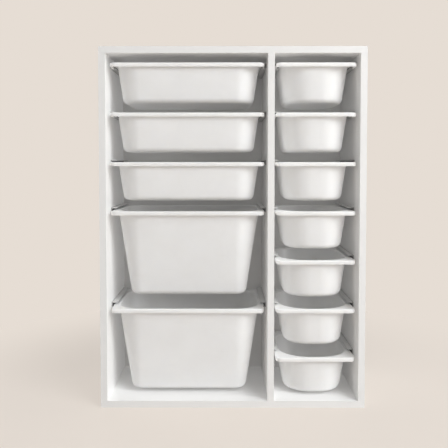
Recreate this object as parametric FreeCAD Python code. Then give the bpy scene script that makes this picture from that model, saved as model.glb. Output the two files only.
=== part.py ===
"""Toy storage organizer: a board cabinet with two columns of moulded bins that hang in channel rails.

Millimetres. X runs to the right, Y to the back and Z up. The origin is the middle of the footprint, on the
floor.
"""
import FreeCAD, Part
import math
import os

V = FreeCAD.Vector

# Cabinet boards
board = 18.0  # thickness of the side, divider, top and bottom panels

# Back panel, held in a groove of the four outer boards
back_thickness = 3.0
back_setback = 8.0  # from the boards' rear edges forward to the back panel
groove_depth = 6.0
groove_play = 0.2  # how much wider the groove is than the back panel
groove_end_gap = 0.5  # from the back panel's edge to the bottom of the groove

# Rows, counted from the top
first_rim_drop = 23.5  # underside of the top panel to the rim of the first row
row_gap = 28.4  # underside of a bin to the rim below it
floor_gap = 10.1  # underside of the lowest bin to the bottom panel
wide_rows = {1: "shallow", 2: "shallow", 3: "shallow", 4: "deep", 6: "deep"}
narrow_rows = {row: "shallow" for row in range(1, 8)}

# Bins
wide_rim = 424.0
narrow_rim = 220.0
wide_side_gap = 8.5  # rim's end to the board beside it
narrow_side_gap = 6.0
rim_length = 274.0  # front to back
rim_setback = 12.0  # front edges of the boards to the front of a rim
rear_clearance = 3.0  # rear of a rim to the back panel
rim_corner = 15.0  # plan radius of the rim's corners
rim_rounding = 1.5  # radius along the rim's top edge
flange = 4.0  # thickness of the rim's top
band_height = 11.0  # the front band, from the rim's top to its lower edge
band_corner = 4.5  # radius of the front band's lower corners
band_wall = 2.5
bin_wall = 2.2
bin_floor = 2.4
heights = {"shallow": 107.0, "deep": 240.0}  # rim to underside
side_land = 14.0  # rim's end to the opening
front_land = 10.0  # rim's front to the opening
wide_corner = 66.0  # plan radius of the opening's corners
narrow_corner = 82.0
draft = 0.155  # how far each wall leans in, for each millimetre down
floor_rounding = 16.0  # outside radius between walls and floor

# Rails, white channels that take the rims' side flanges
rail_setback = 72.0  # front edges of the boards to the rails' front ends
rail_end_short = 6.0  # rail's rear end to the rear of a rim
rail_width = 16.0  # side wall to the channel's mouth
rail_wall = 2.5
rail_headroom = 4.5  # rim's top to the channel's upper flange
running_gap = 0.3  # rim's side flange to the channel's lower flange
flange_to_board = 6.0  # end of the rim's side flange to the board that carries the rail
stop_gap = 0.5  # rail's front end to the band's side returns, which stop the bin
rear_band_gap = 2.0  # rail to the ends of the rear band
peg_radius = 2.5
peg_length = 7.0
peg_inset = 30.0  # rail's end to the peg
hole_play = 0.1  # how much larger in radius a hole is than its peg, dowel, screw or nail
hole_end_gap = 1.0  # end of a peg, dowel, screw or nail to the end of its hole

# Dowels and screws between the top or bottom panel and the upright boards
dowel_radius = 4.0
dowel_in_flat = 10.0  # how deep it sits in the top or bottom panel
dowel_in_end = 20.0  # how deep it sits in the upright board
dowel_inset = 75.0  # from the boards' front and rear edges
screw_radius = 3.5
screw_length = 50.0
screw_head_radius = 5.0
screw_head_depth = 3.0
screw_socket = 4.0  # across the flats of the hexagon socket
screw_socket_depth = 2.5
screw_inset = 40.0  # from the boards' front and rear edges

# Nails through the back panel into the divider
nail_radius = 0.8
nail_length = 20.0
nail_head_radius = 2.2
nail_head_height = 0.8
nail_count = 5
nail_end_inset = 90.0  # top and bottom panels to the outermost nails

# Wall brackets, inside the cabinet under the top panel
bracket_inset = 113.5  # outer side of the cabinet to the middle of a bracket
bracket_width = 40.0
bracket_thickness = 2.0
bracket_deep_leg = 25.0  # under the top panel
bracket_tall_leg = 21.0  # against the back panel
bracket_screw_spacing = 24.0
bracket_screw_from_back = 15.0  # back panel to the screws
bracket_screw_radius = 2.0
bracket_screw_length = 14.0
bracket_head_radius = 3.8
bracket_head_height = 2.2
wall_hole_radius = 2.75
wall_hole_drop = 13.0  # underside of the top panel to the wall hole

# Worked out from the above
wide_opening = wide_rim + 2 * wide_side_gap
narrow_opening = narrow_rim + 2 * narrow_side_gap
row_pitch = max(heights["shallow"] + row_gap, (heights["deep"] + row_gap) / 2)
undersides = [
    first_rim_drop + (row - 1) * row_pitch + heights[kind]
    for rows in (wide_rows, narrow_rows)
    for row, kind in rows.items()
]
interior_height = max(undersides) + floor_gap
cabinet_depth = rim_setback + rim_length + rear_clearance + back_thickness + back_setback
rail_length = rim_setback + rim_length - rail_setback - rail_end_short
cabinet_width = 3 * board + wide_opening + narrow_opening
cabinet_height = 2 * board + interior_height
left = -cabinet_width / 2
right = cabinet_width / 2
front = -cabinet_depth / 2
rear = cabinet_depth / 2
under_top = cabinet_height - board
divider_left = left + board + wide_opening
divider_right = divider_left + board
back_rear = rear - back_setback
back_front = back_rear - back_thickness
rail_front = front + rail_setback
upright_middles = (left + board / 2, divider_left + board / 2, right - board / 2)
columns = {
    "wide": (left + board, divider_left, wide_rim, wide_corner, wide_rows),
    "narrow": (divider_right, right - board, narrow_rim, narrow_corner, narrow_rows),
}


def rim_level(row):
    """Height of the rim's top in a row."""
    return under_top - first_rim_drop - (row - 1) * row_pitch


def block(x0, x1, y0, y1, z0, z1):
    """A block between two opposite corners."""
    return Part.makeBox(x1 - x0, y1 - y0, z1 - z0, V(x0, y0, z0))


def rod(radius, start, end):
    """A round bar from one point to another."""
    along = end - start
    return Part.makeCylinder(radius, along.Length, start, along)


def outline(half_width, y0, y1, radius, z):
    """A closed outline, a rectangle with round corners, even about X = 0."""
    reach = radius * (1 - math.sqrt(0.5))
    corners = (
        (half_width, y0, -1, 1),
        (half_width, y1, -1, -1),
        (-half_width, y1, 1, -1),
        (-half_width, y0, 1, 1),
    )
    arcs = []
    for number, (x, y, inward_x, inward_y) in enumerate(corners):
        beside = V(x + inward_x * radius, y, z)
        above = V(x, y + inward_y * radius, z)
        middle = V(x + inward_x * reach, y + inward_y * reach, z)
        start, end = (beside, above) if number % 2 == 0 else (above, beside)
        arcs.append((start, middle, end))
    edges = []
    for number, (start, middle, end) in enumerate(arcs):
        edges.append(Part.Arc(start, middle, end).toShape())
        edges.append(Part.LineSegment(end, arcs[(number + 1) % 4][0]).toShape())
    return Part.Wire(edges)


def plate(half_width, y0, y1, radius, z0, z1):
    """A flat plate with round corners."""
    return Part.Face(outline(half_width, y0, y1, radius, z0)).extrude(V(0, 0, z1 - z0))


def tub(half_width, corner, growth, z_floor, z_top, rounding):
    """A tapered tub with a rounded floor edge, growth outside the opening. The rim's top is Z = 0."""
    wires = []
    for z in (z_floor, z_top):
        out = growth + draft * z
        y0 = front_land - out
        y1 = rim_length - front_land + out
        wires.append(outline(half_width + out, y0, y1, corner + out, z))
    solid = Part.makeLoft(wires, True, True)
    floor_edges = [edge for edge in solid.Edges if edge.BoundBox.ZMax < z_floor + rounding / 2]
    return solid.makeFillet(rounding, floor_edges)


def bin_shape(opening, rim, corner, height):
    """One moulded bin: tub, rim, front band and rear band. The rim's front is Y = 0 and its top is Z = 0."""
    half_rim = rim / 2
    half_tub = half_rim - side_land
    half_flange = opening / 2 - flange_to_board
    half_rear_band = opening / 2 - rail_width - rear_band_gap
    stop = rail_setback - rim_setback - stop_gap

    top = plate(half_rim, 0, rim_length, rim_corner, -flange, 0)
    upper_edges = [edge for edge in top.Edges if edge.BoundBox.ZMin > -flange / 2]
    top = top.makeFillet(rim_rounding, upper_edges)
    runner_start = stop + stop_gap
    runner_end = rim_length - rim_corner
    runners = block(-half_flange, half_flange, runner_start, runner_end, -flange, -rim_rounding / 2)

    ring = plate(half_rim, 0, rim_length, rim_corner, -band_height, -flange / 2)
    inside = plate(
        half_rim - band_wall,
        band_wall,
        rim_length - band_wall,
        rim_corner - band_wall,
        -band_height,
        -flange / 2,
    )
    ring = ring.cut(inside)
    front_reach = block(-half_rim, half_rim, -1, stop, -band_height, 0)
    lower_corners = [
        edge
        for edge in front_reach.Edges
        if edge.BoundBox.ZMax < -band_height / 2 and edge.BoundBox.XLength < band_wall
    ]
    front_band = ring.common(front_reach.makeFillet(band_corner, lower_corners))
    rear_reach = block(-half_rear_band, half_rear_band, rim_length / 2, rim_length + 1, -band_height, 0)
    rear_band = ring.common(rear_reach)

    outside = tub(half_tub, corner, bin_wall, -height, -flange / 2, floor_rounding)
    cavity = tub(half_tub, corner, 0, bin_floor - height, 1, floor_rounding - bin_wall)
    solid = top.fuse([runners, front_band, rear_band, outside]).cut(cavity)
    return solid.removeSplitter()


def rail_shape():
    """One channel rail for a board on its left. The board's face is X = 0 and the rim's top is Z = 0."""
    lower_top = -flange - running_gap
    low = lower_top - rail_wall
    high = rail_headroom + rail_wall
    web = block(0, rail_wall, 0, rail_length, low, high)
    lower = block(0, rail_width, 0, rail_length, low, lower_top)
    upper = block(0, rail_width, 0, rail_length, rail_headroom, high)
    shape = web.fuse([lower, upper])
    for y in peg_places():
        shape = shape.fuse(rod(peg_radius, V(rail_wall / 2, y, peg_level()), V(-peg_length, y, peg_level())))
    return shape.removeSplitter()


def peg_places():
    """Where the pegs sit along a rail."""
    return (peg_inset, rail_length - peg_inset)


def peg_level():
    """Height of the pegs against the rim's top, the middle of the channel."""
    return (rail_headroom - flange - running_gap) / 2


def peg_holes(board_face, into_board, row):
    """The holes of one rail in the board whose face is given. into_board is -1 or 1."""
    z = rim_level(row) + peg_level()
    deep = board_face + into_board * (peg_length + hole_end_gap)
    return [
        rod(peg_radius + hole_play, V(board_face, rail_front + y, z), V(deep, rail_front + y, z))
        for y in peg_places()
    ]


def joint_places(inset):
    """Where two fasteners sit along the depth of a board."""
    return (front + inset, rear - inset)


def flat_panels():
    """Each flat panel: the face that meets the uprights, the outer face and the way out."""
    return ((board, 0.0, -1), (under_top, cabinet_height, 1))


def fastener_ends(inner_face, outward, in_flat, in_end):
    """Ends of a fastener that crosses the joint between a flat panel and an upright."""
    return inner_face + outward * in_flat, inner_face - outward * in_end


def dowel(x, y, inner_face, outward, play=0.0, end_gap=0.0):
    """A dowel, or with play its hole."""
    flat_end, deep_end = fastener_ends(inner_face, outward, dowel_in_flat + end_gap, dowel_in_end + end_gap)
    return rod(dowel_radius + play, V(x, y, flat_end), V(x, y, deep_end))


def screw(x, y, outer_face, outward, play=0.0, end_gap=0.0):
    """A countersunk assembly screw, or with play its hole."""
    tip = outer_face - outward * (screw_length + end_gap)
    shank = rod(screw_radius + play, V(x, y, outer_face), V(x, y, tip))
    inward = V(0, 0, -outward)
    head = Part.makeCone(
        screw_head_radius, screw_radius, screw_head_depth, V(x, y, outer_face), inward
    )
    return shank.fuse(head).removeSplitter()


def hexagon_socket(x, y, outer_face, outward):
    """The socket in a screw's head."""
    corner = screw_socket / math.sqrt(3)
    points = []
    for turn in range(0, 361, 60):
        angle = math.radians(turn)
        points.append(V(x + corner * math.cos(angle), y + corner * math.sin(angle), outer_face))
    return Part.Face(Part.makePolygon(points)).extrude(V(0, 0, -outward * screw_socket_depth))


def joint_holes():
    """Holes for all dowels and assembly screws, which are cut from each board that they cross."""
    holes = []
    for inner_face, outer_face, outward in flat_panels():
        for x in upright_middles:
            for y in joint_places(dowel_inset):
                holes.append(dowel(x, y, inner_face, outward, hole_play, hole_end_gap))
            for y in joint_places(screw_inset):
                holes.append(screw(x, y, outer_face, outward, hole_play, hole_end_gap))
    return holes


def nail_levels():
    """Heights of the nails in the divider."""
    lowest = board + nail_end_inset
    highest = under_top - nail_end_inset
    step = (highest - lowest) / (nail_count - 1)
    return [lowest + k * step for k in range(nail_count)]


def nail(z, play=0.0, end_gap=0.0):
    """A back panel nail without its head, or with play its hole."""
    x = upright_middles[1]
    tip = back_rear - nail_length - end_gap
    return rod(nail_radius + play, V(x, back_rear, z), V(x, tip, z))


def nails():
    """The nails with their heads on the back panel's rear face."""
    solids = []
    for z in nail_levels():
        x = upright_middles[1]
        head = rod(nail_head_radius, V(x, back_rear, z), V(x, back_rear + nail_head_height, z))
        solids.append(nail(z).fuse(head).removeSplitter())
    return solids


def back_groove():
    """The groove for the back panel, as one slab that reaches into the four outer boards."""
    return block(
        left + board - groove_depth,
        right - board + groove_depth,
        back_front - groove_play / 2,
        back_rear + groove_play / 2,
        board - groove_depth,
        under_top + groove_depth,
    )


def bracket_middles():
    """Where the wall brackets sit along the cabinet."""
    return (left + bracket_inset, right - bracket_inset)


def bracket_screw_places(x):
    """Where one bracket's screws sit."""
    y = back_front - bracket_screw_from_back
    return [(x - bracket_screw_spacing / 2, y), (x + bracket_screw_spacing / 2, y)]


def bracket_screw(x, y, play=0.0, end_gap=0.0):
    """A bracket screw without its head, or with play its hole."""
    start = under_top - bracket_thickness
    tip = start + bracket_screw_length + end_gap
    return rod(bracket_screw_radius + play, V(x, y, start), V(x, y, tip))


def wall_hole(x):
    """The hole for a wall screw, through a bracket and the back panel."""
    z = under_top - wall_hole_drop
    return rod(wall_hole_radius, V(x, back_front - bracket_thickness, z), V(x, back_rear, z))


def bracket(x):
    """A steel angle under the top panel and against the back panel."""
    x0 = x - bracket_width / 2
    x1 = x + bracket_width / 2
    y_deep = back_front - bracket_deep_leg
    y_tall = back_front - bracket_thickness
    deep_leg = block(x0, x1, y_deep, back_front, under_top - bracket_thickness, under_top)
    tall_leg = block(x0, x1, y_tall, back_front, under_top - bracket_tall_leg, under_top)
    holes = [bracket_screw(*place, hole_play) for place in bracket_screw_places(x)]
    return deep_leg.fuse(tall_leg).cut(holes + [wall_hole(x)]).removeSplitter()


def bracket_screws():
    """The four bracket screws with their heads."""
    solids = []
    for middle in bracket_middles():
        for x, y in bracket_screw_places(middle):
            under = under_top - bracket_thickness
            head = rod(bracket_head_radius, V(x, y, under - bracket_head_height), V(x, y, under))
            solids.append(bracket_screw(x, y).fuse(head).removeSplitter())
    return solids


def side_panel(x0, inner_face, into_board, rows):
    """A side panel with its groove, rail holes and joint holes."""
    shape = block(x0, x0 + board, front, rear, board, under_top)
    holes = [hole for row in rows for hole in peg_holes(inner_face, into_board, row)]
    return shape.cut([back_groove()] + holes + joint_holes())


def divider_panel():
    """The divider, which ends at the back panel and holds rails on both faces."""
    shape = block(divider_left, divider_right, front, back_front, board, under_top)
    holes = [hole for row in wide_rows for hole in peg_holes(divider_left, 1, row)]
    holes += [hole for row in narrow_rows for hole in peg_holes(divider_right, -1, row)]
    holes += [nail(z, hole_play, hole_end_gap) for z in nail_levels()]
    return shape.cut(holes + joint_holes())


def flat_panel(z0):
    """The top or bottom panel, which covers the ends of the uprights."""
    shape = block(left, right, front, rear, z0, z0 + board)
    holes = [
        bracket_screw(x, y, hole_play, hole_end_gap)
        for middle in bracket_middles()
        for x, y in bracket_screw_places(middle)
    ]
    return shape.cut([back_groove()] + joint_holes() + holes)


def back_panel():
    """The thin back panel, with its nail holes and wall holes."""
    reach = groove_depth - groove_end_gap
    x0 = left + board - reach
    x1 = right - board + reach
    shape = block(x0, x1, back_front, back_rear, board - reach, under_top + reach)
    holes = [nail(z, hole_play) for z in nail_levels()]
    holes += [wall_hole(x) for x in bracket_middles()]
    return shape.cut(holes)


def assembly_fasteners():
    """All dowels, and all assembly screws."""
    dowels = []
    screws = []
    for inner_face, outer_face, outward in flat_panels():
        for x in upright_middles:
            for y in joint_places(dowel_inset):
                dowels.append(dowel(x, y, inner_face, outward))
            for y in joint_places(screw_inset):
                body = screw(x, y, outer_face, outward)
                screws.append(body.cut(hexagon_socket(x, y, outer_face, outward)))
    return dowels, screws


def placed(shape, x, y, z):
    """A copy of a shape, moved."""
    copy = shape.copy()
    copy.translate(V(x, y, z))
    return copy


def column_parts(name):
    """The bins and rails of one column."""
    x0, x1, rim, corner, rows = columns[name]
    left_rail = rail_shape()
    right_rail = left_rail.mirror(V(0, 0, 0), V(1, 0, 0))
    shapes = {kind: bin_shape(x1 - x0, rim, corner, heights[kind]) for kind in sorted(set(rows.values()))}
    parts = {}
    for row, kind in rows.items():
        z = rim_level(row)
        parts[f"{name}_bin_row_{row}"] = placed(shapes[kind], (x0 + x1) / 2, front + rim_setback, z)
        parts[f"{name}_rail_row_{row}_left"] = placed(left_rail, x0, rail_front, z)
        parts[f"{name}_rail_row_{row}_right"] = placed(right_rail, x1, rail_front, z)
    return parts


def all_parts():
    """Every node of the organizer, by name."""
    dowels, screws = assembly_fasteners()
    parts = {
        "left_side_panel": side_panel(left, left + board, -1, wide_rows),
        "right_side_panel": side_panel(right - board, right - board, 1, narrow_rows),
        "divider_panel": divider_panel(),
        "top_panel": flat_panel(under_top),
        "bottom_panel": flat_panel(0.0),
        "back_panel": back_panel(),
        "dowels": Part.makeCompound(dowels),
        "assembly_screws": Part.makeCompound(screws),
        "back_panel_nails": Part.makeCompound(nails()),
        "bracket_screws": Part.makeCompound(bracket_screws()),
    }
    for side, x in zip(("left", "right"), bracket_middles()):
        parts[f"{side}_wall_bracket"] = bracket(x)
    for name in columns:
        parts.update(column_parts(name))
    return parts


os.makedirs("parts", exist_ok=True)
for node, shape in all_parts().items():
    shape.exportStep(f"parts/{node}.step")
    print(f"{node}: {len(shape.Solids)} solid(s), {shape.Volume / 1000:.1f} cm3, valid {shape.isValid()}")
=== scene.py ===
"""Looks of the toy storage organizer: laminated boards, moulded bins, channel rails and steel hardware.

Metres, in the frame of the CAD model: X to the right, Y to the back, Z up.
"""
import math

import bmesh
import bpy
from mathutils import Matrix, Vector


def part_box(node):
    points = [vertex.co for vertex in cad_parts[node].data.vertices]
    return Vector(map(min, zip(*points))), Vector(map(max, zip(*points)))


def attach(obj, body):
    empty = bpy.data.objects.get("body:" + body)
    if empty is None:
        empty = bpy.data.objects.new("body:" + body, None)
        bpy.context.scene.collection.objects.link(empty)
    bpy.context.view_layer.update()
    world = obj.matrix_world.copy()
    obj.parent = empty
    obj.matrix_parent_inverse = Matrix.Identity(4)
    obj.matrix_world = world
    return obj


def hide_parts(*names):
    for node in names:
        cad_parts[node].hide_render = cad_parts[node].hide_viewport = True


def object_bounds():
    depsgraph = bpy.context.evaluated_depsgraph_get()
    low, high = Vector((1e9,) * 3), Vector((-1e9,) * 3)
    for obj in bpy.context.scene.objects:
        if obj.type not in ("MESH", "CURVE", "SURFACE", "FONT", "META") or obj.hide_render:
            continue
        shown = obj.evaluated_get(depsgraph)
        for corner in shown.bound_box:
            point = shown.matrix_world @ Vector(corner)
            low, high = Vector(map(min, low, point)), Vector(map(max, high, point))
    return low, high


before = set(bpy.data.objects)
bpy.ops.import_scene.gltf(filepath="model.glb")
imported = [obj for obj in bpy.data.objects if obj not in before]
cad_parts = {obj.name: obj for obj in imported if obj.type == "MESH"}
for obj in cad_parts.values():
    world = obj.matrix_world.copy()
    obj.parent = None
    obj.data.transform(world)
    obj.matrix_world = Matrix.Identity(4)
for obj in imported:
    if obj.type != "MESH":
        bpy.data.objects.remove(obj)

cad_low, cad_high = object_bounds()

ROWS = {"wide": (1, 2, 3, 4, 6), "narrow": (1, 2, 3, 4, 5, 6, 7)}

# Bins, as the CAD model has them, with softer edges
RIM_WIDTH = {"wide": 0.424, "narrow": 0.220}
OPENING_CORNER = {"wide": 0.066, "narrow": 0.082}  # plan radius of the opening's corners
RIM_CORNER = 0.015  # plan radius of the rim's corners
LIP_ROUNDING = 0.0016  # rim's inner edge
RIM_ROUNDING = 0.0030  # rim's outer edge
SIDE_LAND = 0.014  # rim's end to the opening
FRONT_LAND = 0.010  # rim's front to the opening
DRAFT = 0.155  # how far each wall leans in, for each metre down
WALL = 0.0022
FLOOR = 0.0024
FLOOR_ROUNDING = 0.016  # outside radius between walls and floor
BAND_HEIGHT = 0.011  # the front band, from the rim's top to its lower edge
BAND_CORNER = 0.0045  # radius of the front band's lower corners
BAND_WALL = 0.0025
FLANGE_UNDERSIDE = 0.0034  # rim's top to its underside, at the wall
FLANGE_EDGE = 0.0040  # rim's top to the lower edge of its side flanges
EDGE_ROUNDING = 0.0006  # lower edges of bands and flanges
FILLET = 0.0032  # between wall and rim, underneath
FILLET_BEND = (0.3, 0.25)  # its middle point, out and down, as shares of the fillet
RETURN_END = 0.0595  # front of the rim to the end of the band's side return
FLANGE_START = 0.060  # front of the rim to the front end of a side flange
REAR_BAND_INSET = 0.012  # end of the rim's side flange to the end of the rear band

# How finely the bins are divided
FLOOR_STEPS = 8
WALL_STEPS = 5
LIP_STEPS = 4
RIM_STEPS = 6
FOOT_STEPS = 2
STRAIGHT_STEPS = 9
SHOULDER_STEPS = 7  # from the middle of an opening's corner to the rim's corner
TURN_STEPS = 12
RETURN_STEPS = 3
FLANGE_FAN_STEPS = 7
CORNER_FAN_STEPS = 10
REAR_FAN_STEPS = 8
STEP_ANGLE = 0.004  # radians across a sharp step in the rim's outline
SHARP_ANGLE = 38  # degrees from which an edge of a bin is shown sharp

# Boards, rails and fasteners
EDGE_BAND = 0.0008  # thickness of the boards' edge bands
EDGE_BAND_FADE = 0.0001
SEAM_HALF_WIDTHS = (0.00012, 0.00022)  # full and none of the dark line behind the edge band
RAIL_CREVICE = 0.018  # a little over the rails' channel, the reach of the painted shade inside them
BOARD_EDGE = 0.0005  # widths of the broken edges
RAIL_EDGE = 0.0004
BRACKET_EDGE = 0.0003
DOWEL_EDGE = 0.0003
SCREW_EDGE = 0.0002
BEVEL_SEGMENTS = 2
BEVEL_ANGLE = 50  # degrees from which an edge is broken
WELD_DISTANCE = 0.00001

# Photograph's camera
CAMERA_PLACE = (-0.0194, -1.8, 0.669)
CAMERA_PITCH_DOWN = 2.316  # degrees
CAMERA_YAW = 0.156  # degrees
CAMERA_LENS = 48.8
CAMERA_SHIFT_Y = -0.077

# Light
KEY_PLACE = (2.71, -3.01, 2.46)
KEY_TARGET = (1.37, -1.52, 0.0)  # on the floor in front, so that top and bottom are lit alike
KEY_SIZE = 3.5
KEY_POWER = 202.0
LEFT_PLACE = (-2.4, -0.9, 0.9)
LEFT_SIZE = 1.6
LEFT_POWER = 7.0
BACK_PLACE = (-2.1, 3.4, 2.3)
BACK_SIZE = 3.0
BACK_POWER = 40.0
LAMP_COLOUR = (0.96, 0.985, 1.0)  # offsets the warm light that the floor gives back
RIGHT_FILL_SIDE = (1, -0.15, 0)
RIGHT_FILL = 0.44
TOP_FILL_SIDE = (0, -0.15, 1)
TOP_FILL = 0.36
SKY_STRENGTH = 0.11
SKY_COLOUR = (1.0, 1.0, 1.0)
BACKDROP = (0.791, 0.723, 0.658)
FLOOR_SIZE = 60.0
FLOOR_COLOUR = (0.84, 0.765, 0.70)
FLOOR_NEAR_SHARE = 0.7  # how much of the backdrop's plain colour the floor shows beside the cabinet
FLOOR_FADE_START = 0.5
FLOOR_FADE_END = 1.15


def grey(value, warm=0.0):
    """A near-white colour, warmer with a higher second value."""
    return (value, value * (1 - 0.4 * warm), value * (1 - warm), 1.0)


# Colours
LAMINATE = (grey(0.925, 0.014), grey(0.905, 0.018))
EDGE_BAND_TONE = grey(0.77, 0.018)
LAMINATE_FLECK = grey(0.74, 0.03)
SEAM_TONE = grey(0.52, 0.05)
WEAR_TONE = grey(0.66, 0.05)
BACK_PAINT = (grey(0.88, 0.020), grey(0.86, 0.024))
FIBRE = ((0.23, 0.135, 0.068, 1), (0.42, 0.275, 0.155, 1))
FIBRE_PATCH = (0.30, 0.185, 0.095, 1)
BIN_TONES = (0.83, 0.855)
RAIL_TONES = (0.58, 0.62)
# Painted shade for the inside of the rails' channels
RAIL_PAINTED_SHADE = grey(0.07, 0.05)
ZINC = ((0.60, 0.61, 0.62, 1), (0.50, 0.50, 0.50, 1))
BEECH = ((0.62, 0.42, 0.24, 1), (0.42, 0.25, 0.13, 1))


# ---------- shader helpers ----------

def node(tree, kind, settings=None, **inputs):
    """A shader node. Settings are its own values. Inputs are numbers, colours or outputs of other nodes.

    An input goes by its name, with _ for a space, or by its place, as i0, i1 and so on.
    """
    made = tree.nodes.new(kind)
    for name, value in (settings or {}).items():
        setattr(made, name, value)
    for name, value in inputs.items():
        by_place = name[0] == "i" and name[1:].isdigit()
        socket = made.inputs[int(name[1:]) if by_place else name.replace("_", " ")]
        if isinstance(value, bpy.types.NodeSocket):
            tree.links.new(value, socket)
        else:
            socket.default_value = value
    return made


def new_material(name):
    """A material with its Principled shader, and object coordinates."""
    made = bpy.data.materials.new(name)
    made.use_nodes = True
    tree = made.node_tree
    place = node(tree, "ShaderNodeTexCoord").outputs["Object"]
    return made, tree, tree.nodes["Principled BSDF"], place


def noise(tree, place, scale, detail=3.0, roughness=0.5, distortion=0.0):
    """Noise from 0 to 1, scale in cells per metre."""
    made = node(
        tree, "ShaderNodeTexNoise",
        Vector=place, Scale=scale, Detail=detail, Roughness=roughness, Distortion=distortion,
    )
    return made.outputs["Fac"]


def stretched(tree, place, scale, rotation=(0.0, 0.0, 0.0)):
    """Coordinates turned and scaled differently along each axis."""
    return node(tree, "ShaderNodeMapping", Vector=place, Rotation=rotation, Scale=scale).outputs[0]


def span(tree, value, low, high, to_low, to_high):
    """Value between low and high, moved to another span and held there."""
    made = node(tree, "ShaderNodeMapRange", i0=value, i1=low, i2=high, i3=to_low, i4=to_high)
    return made.outputs[0]


def math_node(tree, operation, first, second=0.0):
    """An arithmetic step on one or two values."""
    made = node(tree, "ShaderNodeMath", {"operation": operation}, i0=first, i1=second)
    return made.outputs[0]


def axis_y(tree, vector):
    """A vector's Y."""
    return node(tree, "ShaderNodeSeparateXYZ", i0=vector).outputs["Y"]


def blend_colour(tree, factor, first, second):
    """A colour between two."""
    made = node(tree, "ShaderNodeMix", {"data_type": "RGBA"}, i0=factor, i6=first, i7=second)
    return made.outputs[2]


def cloudy(tree, pattern, colours, low=0.3, high=0.7):
    """Two colours blended by a pattern."""
    return blend_colour(tree, span(tree, pattern, low, high, 0, 1), *colours)


def bump(tree, shader, layers):
    """Bump from layers of (height, strength, depth in metres), stacked."""
    normal = None
    for height, strength, depth in layers:
        made = node(tree, "ShaderNodeBump", Strength=strength, Distance=depth, Height=height)
        if normal is not None:
            tree.links.new(normal, made.inputs["Normal"])
        normal = made.outputs["Normal"]
    tree.links.new(normal, shader.inputs["Normal"])


def edge_mask(tree, radius):
    """1 along edges and in corners, 0 on flat faces."""
    smooth = node(tree, "ShaderNodeBevel", {"samples": 4}, Radius=radius).outputs[0]
    flat = node(tree, "ShaderNodeNewGeometry").outputs["Normal"]
    dot = node(tree, "ShaderNodeVectorMath", {"operation": "DOT_PRODUCT"}, i0=smooth, i1=flat)
    return span(tree, dot.outputs["Value"], 1.0, 0.8, 0.0, 1.0)


def worn_edges(tree, radius, patches, low, least, most):
    """How worn the edges are, in patches."""
    return math_node(tree, "MULTIPLY", edge_mask(tree, radius), span(tree, patches, low, 0.75, least, most))


# ---------- materials ----------

def board_material():
    """White laminate, fine satin grain, with the joint line of its front edge band."""
    made, tree, shader, place = new_material("white_laminate")
    tone = cloudy(tree, noise(tree, place, 5.0, detail=4.0), LAMINATE)
    depth = axis_y(tree, place)
    joint = cad_low.y + EDGE_BAND
    band = span(tree, depth, joint, joint + EDGE_BAND_FADE, 1.0, 0.0)
    tone = blend_colour(tree, band, tone, EDGE_BAND_TONE)
    fleck = noise(tree, place, 160.0, detail=5.0, roughness=0.65)
    tone = blend_colour(tree, span(tree, fleck, 0.62, 0.80, 0, 0.3), tone, LAMINATE_FLECK)
    from_joint = math_node(tree, "ABSOLUTE", math_node(tree, "SUBTRACT", depth, joint))
    tone = blend_colour(tree, span(tree, from_joint, *SEAM_HALF_WIDTHS, 0.5, 0.0), tone, SEAM_TONE)
    wear = worn_edges(tree, 0.0012, noise(tree, place, 38.0, detail=5.0, roughness=0.7), 0.45, 0.05, 0.5)
    tone = blend_colour(tree, wear, tone, WEAR_TONE)
    tree.links.new(tone, shader.inputs["Base Color"])
    smear = noise(tree, place, 28.0, detail=4.0, roughness=0.6)
    tree.links.new(span(tree, smear, 0.3, 0.7, 0.34, 0.47), shader.inputs["Roughness"])
    peel = noise(tree, place, 420.0, roughness=0.55)
    grain = noise(tree, place, 1900.0, detail=2.0)
    bump(tree, shader, ((peel, 0.25, 0.00012), (grain, 0.2, 0.00005)))
    return made


def plastic_material(name, tones, roughness, grain_scale, subsurface=0.0, crevice=0.0):
    """Moulded polypropylene: cloudy tone, spark-eroded grain, fine scuffs, a little light inside.

    A crevice width paints shade, found by ambient occlusion, inside channels that narrow.
    """
    low, high = tones
    made, tree, shader, place = new_material(name)
    cloud = noise(tree, place, 14.0, distortion=0.6)
    tone = cloudy(tree, cloud, (grey(low, 0.022), grey(high, 0.016)))
    streaks = stretched(tree, place, (9.0, 260.0, 120.0), rotation=(0.2, 0.5, 0.9))
    scuff = span(tree, noise(tree, streaks, 1.0, detail=4.0, roughness=0.62), 0.66, 0.78, 0.0, 0.4)
    tone = blend_colour(tree, scuff, tone, grey(low * 0.9, 0.03))
    rub = worn_edges(tree, 0.0015, noise(tree, place, 55.0, detail=4.0, roughness=0.6), 0.4, 0.0, 0.35)
    tone = blend_colour(tree, rub, tone, grey(high * 1.03, 0.01))
    if crevice:
        # Painted shade: ambient occlusion darkens the inside of narrow channels
        occlusion = node(tree, "ShaderNodeAmbientOcclusion", {"samples": 6}, Distance=crevice)
        painted_shade_mask = span(tree, occlusion.outputs["AO"], 0.25, 0.6, 1.0, 0.0)
        tone = blend_colour(tree, painted_shade_mask, tone, RAIL_PAINTED_SHADE)
    tree.links.new(tone, shader.inputs["Base Color"])
    smear = noise(tree, place, 34.0, detail=4.0, roughness=0.6)
    gloss = span(tree, smear, 0.3, 0.7, roughness - 0.05, roughness + 0.07)
    dull = math_node(tree, "MULTIPLY", scuff, 0.2)
    tree.links.new(math_node(tree, "ADD", gloss, dull), shader.inputs["Roughness"])
    shader.inputs["Subsurface Weight"].default_value = subsurface
    shader.inputs["Subsurface Radius"].default_value = (1.0, 0.95, 0.85)
    shader.inputs["Subsurface Scale"].default_value = 0.008
    shader.inputs["Specular IOR Level"].default_value = 0.45
    grain = noise(tree, place, grain_scale, roughness=0.6)
    sink = noise(tree, place, 11.0, detail=2.0)
    bump(tree, shader, ((sink, 0.3, 0.0012), (grain, 0.28, 0.00006)))
    return made


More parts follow.
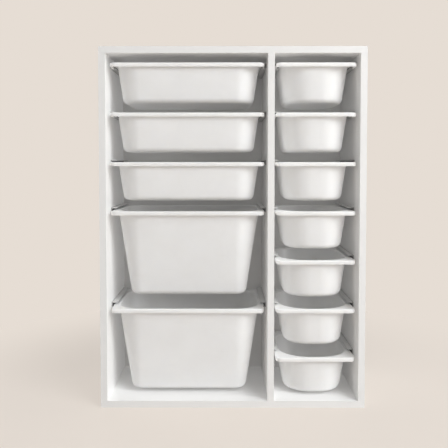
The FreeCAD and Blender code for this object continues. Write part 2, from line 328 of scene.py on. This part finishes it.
def hardboard_material():
    """Back panel: white paint towards the bins, bare pressed fibre towards the wall."""
    made, tree, shader, place = new_material("hardboard")
    fibre = noise(tree, place, 900.0, detail=6.0, roughness=0.7, distortion=0.8)
    patch = noise(tree, place, 12.0, detail=4.0, roughness=0.6)
    bare = cloudy(tree, fibre, FIBRE)
    bare = blend_colour(tree, span(tree, patch, 0.35, 0.7, 0, 0.35), bare, FIBRE_PATCH)
    paint = cloudy(tree, patch, BACK_PAINT)
    facing = axis_y(tree, node(tree, "ShaderNodeNewGeometry").outputs["Normal"])
    behind = span(tree, facing, 0.4, 0.6, 0.0, 1.0)
    tree.links.new(blend_colour(tree, behind, paint, bare), shader.inputs["Base Color"])
    coarse = math_node(tree, "ADD", behind, fibre)
    tree.links.new(span(tree, coarse, 0.4, 1.6, 0.45, 0.78), shader.inputs["Roughness"])
    grain = noise(tree, place, 3000.0, detail=2.0)
    bump(tree, shader, ((fibre, 0.3, 0.0002), (grain, 0.2, 0.00008)))
    return made


def steel_material():
    """Zinc plate over pressed steel, with mottling and drawn lines."""
    made, tree, shader, place = new_material("zinc_steel")
    mottle = noise(tree, place, 420.0, detail=5.0, roughness=0.65)
    tree.links.new(cloudy(tree, mottle, ZINC), shader.inputs["Base Color"])
    shader.inputs["Metallic"].default_value = 1.0
    tree.links.new(span(tree, mottle, 0.3, 0.7, 0.26, 0.44), shader.inputs["Roughness"])
    lines = noise(tree, stretched(tree, place, (60.0, 5000.0, 5000.0)), 1.0)
    bump(tree, shader, ((lines, 0.15, 0.00004),))
    return made


def beech_material():
    """Plain beech with short dark rays."""
    made, tree, shader, place = new_material("beech")
    rays = noise(tree, stretched(tree, place, (900.0, 900.0, 60.0)), 1.0, detail=4.0, roughness=0.6)
    tree.links.new(cloudy(tree, rays, BEECH, low=0.35), shader.inputs["Base Color"])
    tree.links.new(span(tree, rays, 0.3, 0.7, 0.5, 0.7), shader.inputs["Roughness"])
    bump(tree, shader, ((rays, 0.3, 0.0002),))
    return made


# ---------- bins ----------

def arc(centre, radius, start, end, steps):
    """Points of an arc in a plane, angles in degrees."""
    points = []
    for k in range(steps + 1):
        angle = math.radians(start + (end - start) * k / steps)
        points.append((centre[0] + radius * math.cos(angle), centre[1] + radius * math.sin(angle)))
    return points


def between(start, finish, steps):
    """Even values from start to finish, both included."""
    return [start + (finish - start) * k / steps for k in range(steps + 1)]


def tub_side(mouth, z_floor, radius):
    """One skin's floor rounding and wall, from the floor up. mouth is how far the wall is out at Z = 0."""
    slope = math.hypot(1, DRAFT)
    lean = math.degrees(math.atan(DRAFT))
    along = mouth + DRAFT * (z_floor + radius) - radius * slope
    points = arc((along, z_floor + radius), radius, -90, -lean, FLOOR_STEPS)
    heights = between(points[-1][1], -FLANGE_UNDERSIDE - FILLET, WALL_STEPS)
    return points + [(mouth + DRAFT * z, z) for z in heights[1:]]


def wall_section(corner, reach, band, height):
    """A bin's section from the floor inside, over the rim, to the underside: (out from the core, z) pairs.

    corner is how far the opening lies from the core, and reach how far the rim's end does. band holds the
    height of the band's outer and inner face.
    """
    outer_height, inner_height = band
    slope = math.hypot(1, DRAFT)
    lean = math.degrees(math.atan(DRAFT))
    inside = tub_side(corner, FLOOR - height, FLOOR_ROUNDING - WALL)
    lip = corner - DRAFT * LIP_ROUNDING + LIP_ROUNDING * slope
    inside += arc((lip, -LIP_ROUNDING), LIP_ROUNDING, 180 - lean, 90, LIP_STEPS)
    top = [(lip + (reach - RIM_ROUNDING - lip) * k / 3, 0.0) for k in (1, 2)]
    edge = arc((reach - RIM_ROUNDING, -RIM_ROUNDING), RIM_ROUNDING, 90, 0, RIM_STEPS)
    foot_centre = (reach - EDGE_ROUNDING, EDGE_ROUNDING - outer_height)
    foot = arc(foot_centre, EDGE_ROUNDING, 0, -90, FOOT_STEPS)
    inner = reach - BAND_WALL
    under = [
        (inner + EDGE_ROUNDING, -inner_height),
        (inner, min(EDGE_ROUNDING - inner_height, -FLANGE_UNDERSIDE)),
        (inner, -FLANGE_UNDERSIDE),
    ]
    wall_top = corner + WALL - DRAFT * FLANGE_UNDERSIDE
    bend_out, bend_down = FILLET_BEND
    neck = [
        (wall_top + FILLET, -FLANGE_UNDERSIDE),
        (wall_top + FILLET * bend_out, -FLANGE_UNDERSIDE - FILLET * bend_down),
    ]
    outside = tub_side(corner + WALL, -height, FLOOR_ROUNDING)
    return inside + top + edge + foot + under + neck + outside[::-1]


def rim_hit(core, angle, half_x, half_y):
    """How far the rim's end lies from a core corner along an angle. The corner lies at the right."""
    ux, uy = math.cos(angle), math.sin(angle)
    side = math.copysign(1, uy)
    runs = []
    if ux > 1e-9:
        runs.append((half_x - core[0]) / ux)
    if abs(uy) > 1e-9:
        runs.append((half_y * side - core[1]) / uy)
    run = min(runs)
    centre = (half_x - RIM_CORNER, side * (half_y - RIM_CORNER))
    x, y = core[0] + run * ux, core[1] + run * uy
    if x > centre[0] and y * side > centre[1] * side:
        fx, fy = core[0] - centre[0], core[1] - centre[1]
        b = fx * ux + fy * uy
        run = -b + math.sqrt(b * b - (fx * fx + fy * fy - RIM_CORNER ** 2))
    return run


def band_depth(x, half_x):
    """Height of the front band at an x, less towards its lower corners."""
    over = min(BAND_CORNER, max(0.0, x - half_x + BAND_CORNER))
    return max(FLANGE_EDGE, BAND_HEIGHT - BAND_CORNER + math.sqrt(BAND_CORNER ** 2 - over ** 2))


def front_corner_line(core_x, half_x, half_y):
    """Points along the front band, from an opening's corner round the rim's corner and along the side."""
    turn_x, turn_y = half_x - RIM_CORNER, RIM_CORNER - half_y
    straight = [(core_x + (turn_x - core_x) * k / SHOULDER_STEPS, -half_y) for k in range(SHOULDER_STEPS)]
    turn = arc((turn_x, turn_y), RIM_CORNER, -90, 0, TURN_STEPS)
    side = [(half_x, y) for y in between(turn_y, RETURN_END - half_y, RETURN_STEPS)[1:]]
    return straight + turn + side


def rim_stations(rim, half_flange, length, corner):
    """Stations round the right half of a bin, front to back: (core x, core y, angle, reach, band heights)."""
    half_x, half_y = rim / 2, length / 2
    core_x = half_x - SIDE_LAND - corner
    core_y = half_y - FRONT_LAND - corner
    front, back = (core_x, -core_y), (core_x, core_y)
    full, none = (BAND_HEIGHT, BAND_HEIGHT), (FLANGE_EDGE, FLANGE_EDGE)
    rear_x = half_flange - REAR_BAND_INSET
    over = max(0.0, rear_x - half_x + RIM_CORNER)
    rear_y = half_y - RIM_CORNER + math.sqrt(RIM_CORNER ** 2 - over ** 2)
    flange_front = math.atan2(FLANGE_START - half_y + core_y, half_flange - core_x)
    flange_back = math.atan2(half_y - RIM_CORNER - core_y, half_flange - core_x)
    band_end = math.atan2(rear_y - core_y, rear_x - core_x)
    quarter = math.pi / 2
    stations = []

    def fan(core, angles, half, band):
        for angle in angles:
            stations.append((core[0], core[1], angle, rim_hit(core, angle, half, half_y), band))

    for k in range(STRAIGHT_STEPS):
        stations.append((core_x * k / STRAIGHT_STEPS, -core_y, -quarter, half_y - core_y, full))
    for x, y in front_corner_line(core_x, half_x, half_y):
        angle = math.atan2(y + core_y, x - core_x)
        reach = math.hypot(x - core_x, y + core_y)
        band = (band_depth(x, half_x), band_depth(x - BAND_WALL * math.cos(angle), half_x))
        stations.append((core_x, -core_y, angle, reach, band))
    fan(front, between(flange_front, 0.0, FLANGE_FAN_STEPS), half_flange, none)
    for k in range(1, STRAIGHT_STEPS):
        y = -core_y + 2 * core_y * k / STRAIGHT_STEPS
        stations.append((core_x, y, 0.0, half_flange - core_x, none))
    fan(back, between(0.0, flange_back, CORNER_FAN_STEPS), half_flange, none)
    fan(back, between(flange_back + STEP_ANGLE, band_end, REAR_FAN_STEPS), half_x, none)
    fan(back, between(band_end + STEP_ANGLE, quarter, REAR_FAN_STEPS), half_x, full)
    for k in range(1, STRAIGHT_STEPS + 1):
        x = core_x * (STRAIGHT_STEPS - k) / STRAIGHT_STEPS
        stations.append((x, core_y, quarter, half_y - core_y, full))
    return stations


def bin_mesh(name, rim, half_flange, length, corner, height):
    """One bin as a closed shell, its rim's top at Z = 0 and its middle at X = Y = 0."""
    right = rim_stations(rim, half_flange, length, corner)
    loop = [(x, y, math.cos(a), math.sin(a), reach, band) for x, y, a, reach, band in right]
    loop += [(-x, y, -ux, uy, reach, band) for x, y, ux, uy, reach, band in reversed(loop[1:-1])]
    made = bmesh.new()
    rings = []
    for x, y, ux, uy, reach, band in loop:
        section = wall_section(corner, reach, band, height)
        rings.append([made.verts.new((x + out * ux, y + out * uy, z)) for out, z in section])
    for k, ring in enumerate(rings):
        after = rings[(k + 1) % len(rings)]
        for j in range(len(ring) - 1):
            made.faces.new((ring[j], ring[j + 1], after[j + 1], after[j]))
    made.faces.new([ring[0] for ring in rings])
    made.faces.new([ring[-1] for ring in reversed(rings)])
    bmesh.ops.recalc_face_normals(made, faces=made.faces)
    mesh = bpy.data.meshes.new(name)
    made.to_mesh(mesh)
    made.free()
    mesh.shade_smooth()
    mesh.set_sharp_from_angle(angle=math.radians(SHARP_ANGLE))
    return mesh


def add_piece(name, mesh, place, material, body):
    """A piece of the object that rides on a body."""
    piece = bpy.data.objects.new(name, mesh)
    bpy.context.scene.collection.objects.link(piece)
    piece.location = place
    set_material(piece, material)
    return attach(piece, body)


def set_material(piece, material):
    """One material all over a piece."""
    piece.data.materials.clear()
    piece.data.materials.append(material)


def make_bins(material):
    """Every bin, over its CAD node."""
    for column, rows in ROWS.items():
        for row in rows:
            cad_node = f"{column}_bin_row_{row}"
            shell = cad_node + "_shell"
            low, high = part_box(cad_node)
            size = high - low
            mesh = bin_mesh(
                shell, RIM_WIDTH[column], size.x / 2, size.y, OPENING_CORNER[column], size.z
            )
            place = ((low.x + high.x) / 2, (low.y + high.y) / 2, high.z)
            piece = add_piece(shell, mesh, place, material, f"{column}_row_{row}")
            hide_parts(cad_node)


# ---------- CAD nodes that stay ----------

def dress(name, material, bevel=0.0):
    """A CAD node with its material and softly broken edges."""
    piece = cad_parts[name]
    set_material(piece, material)
    weld = piece.modifiers.new("weld", "WELD")
    weld.merge_threshold = WELD_DISTANCE
    if bevel:
        soft = piece.modifiers.new("edges", "BEVEL")
        soft.width = bevel
        soft.segments = BEVEL_SEGMENTS
        soft.limit_method = "ANGLE"
        soft.angle_limit = math.radians(BEVEL_ANGLE)
        soft.harden_normals = True
        soft.use_clamp_overlap = True


def dress_nodes(board, hardboard, rail, steel, beech):
    """Materials and edges for each CAD node that is shown as it is."""
    for name in ("left_side_panel", "right_side_panel", "divider_panel", "top_panel", "bottom_panel"):
        dress(name, board, BOARD_EDGE)
    dress("back_panel", hardboard)
    dress("dowels", beech, DOWEL_EDGE)
    for name in ("assembly_screws", "back_panel_nails", "bracket_screws"):
        dress(name, steel, SCREW_EDGE)
    for name in ("left_wall_bracket", "right_wall_bracket"):
        dress(name, steel, BRACKET_EDGE)
    for column, rows in ROWS.items():
        for row in rows:
            for side in ("left", "right"):
                dress(f"{column}_rail_row_{row}_{side}", rail, RAIL_EDGE)


# ---------- stage, light and camera ----------

def seen_directly(tree):
    """1 for camera, glossy and transmission rays."""
    path = node(tree, "ShaderNodeLightPath").outputs
    first = math_node(tree, "MAXIMUM", path["Is Camera Ray"], path["Is Glossy Ray"])
    return math_node(tree, "MAXIMUM", first, path["Is Transmission Ray"])


def make_floor():
    """A pale floor that keeps the shadow near the cabinet and fades into the backdrop's colour."""
    bpy.ops.mesh.primitive_plane_add(size=FLOOR_SIZE, location=(0, 0, 0))
    floor = bpy.context.object
    floor.name = "floor"
    made = bpy.data.materials.new("floor")
    made.use_nodes = True
    tree = made.node_tree
    tree.nodes.clear()
    place = node(tree, "ShaderNodeTexCoord").outputs["Object"]
    away = node(tree, "ShaderNodeVectorMath", {"operation": "LENGTH"}, i0=place).outputs["Value"]
    far = node(
        tree, "ShaderNodeMapRange", {"interpolation_type": "SMOOTHSTEP"},
        i0=away, i1=FLOOR_FADE_START, i2=FLOOR_FADE_END, i3=FLOOR_NEAR_SHARE,
    )
    lit = node(tree, "ShaderNodeBsdfDiffuse", Color=(*FLOOR_COLOUR, 1)).outputs[0]
    plain = node(tree, "ShaderNodeEmission", Color=(*BACKDROP, 1), Strength=1.0).outputs[0]
    seen = math_node(tree, "MULTIPLY", far.outputs[0], seen_directly(tree))
    mix = node(tree, "ShaderNodeMixShader", i0=seen, i1=lit, i2=plain).outputs[0]
    node(tree, "ShaderNodeOutputMaterial", Surface=mix)
    floor.data.materials.append(made)


def make_world():
    """Even pale light all round, seen as the backdrop's colour."""
    world = bpy.data.worlds.new("studio")
    bpy.context.scene.world = world
    world.use_nodes = True
    tree = world.node_tree
    tree.nodes.clear()
    sky = node(tree, "ShaderNodeBackground", Color=(*SKY_COLOUR, 1), Strength=SKY_STRENGTH).outputs[0]
    plain = node(tree, "ShaderNodeBackground", Color=(*BACKDROP, 1), Strength=1.0).outputs[0]
    mix = node(tree, "ShaderNodeMixShader", i0=seen_directly(tree), i1=sky, i2=plain).outputs[0]
    node(tree, "ShaderNodeOutputWorld", Surface=mix)


def add_lamp(name, kind, facing_back):
    """A lamp whose back looks along a direction, so that it shines the other way."""
    lamp = bpy.data.objects.new(name, bpy.data.lights.new(name, kind))
    bpy.context.scene.collection.objects.link(lamp)
    lamp.rotation_euler = Vector(facing_back).to_track_quat("Z", "Y").to_euler()
    return lamp


def make_softbox(name, place, target, size, power):
    """A large round lamp that faces a target."""
    lamp = add_lamp(name, "AREA", Vector(place) - Vector(target))
    lamp.location = place
    lamp.data.shape = "DISK"
    lamp.data.size = size
    lamp.data.energy = power
    lamp.data.color = LAMP_COLOUR


def make_fill(name, side, strength):
    """Even light from one side, without shadows, as from a pale wall or ceiling."""
    lamp = add_lamp(name, "SUN", side)
    lamp.data.energy = strength
    lamp.data.use_shadow = False


def make_lights():
    """A key at the front right, as the photograph's shadows show, weak lamps left and behind, and fills."""
    middle = (cad_low + cad_high) / 2
    make_softbox("key", KEY_PLACE, KEY_TARGET, KEY_SIZE, KEY_POWER)
    make_softbox("left", LEFT_PLACE, middle, LEFT_SIZE, LEFT_POWER)
    make_softbox("back", BACK_PLACE, middle, BACK_SIZE, BACK_POWER)
    make_fill("right_fill", RIGHT_FILL_SIDE, RIGHT_FILL)
    make_fill("top_fill", TOP_FILL_SIDE, TOP_FILL)


def make_camera():
    """The photograph's viewpoint."""
    data = bpy.data.cameras.new("camera")
    data.lens = CAMERA_LENS
    data.shift_y = CAMERA_SHIFT_Y
    camera = bpy.data.objects.new("camera", data)
    bpy.context.scene.collection.objects.link(camera)
    camera.location = CAMERA_PLACE
    camera.rotation_euler = (math.radians(90 - CAMERA_PITCH_DOWN), 0, math.radians(CAMERA_YAW))
    bpy.context.scene.camera = camera


bpy.context.scene.view_settings.view_transform = "Standard"
make_camera()
make_world()
make_lights()
make_floor()
make_bins(plastic_material("bin_plastic", BIN_TONES, roughness=0.42, grain_scale=1500.0, subsurface=0.35))
dress_nodes(
    board_material(),
    hardboard_material(),
    plastic_material("rail_plastic", RAIL_TONES, roughness=0.36, grain_scale=2200.0, crevice=RAIL_CREVICE),
    steel_material(),
    beech_material(),
)
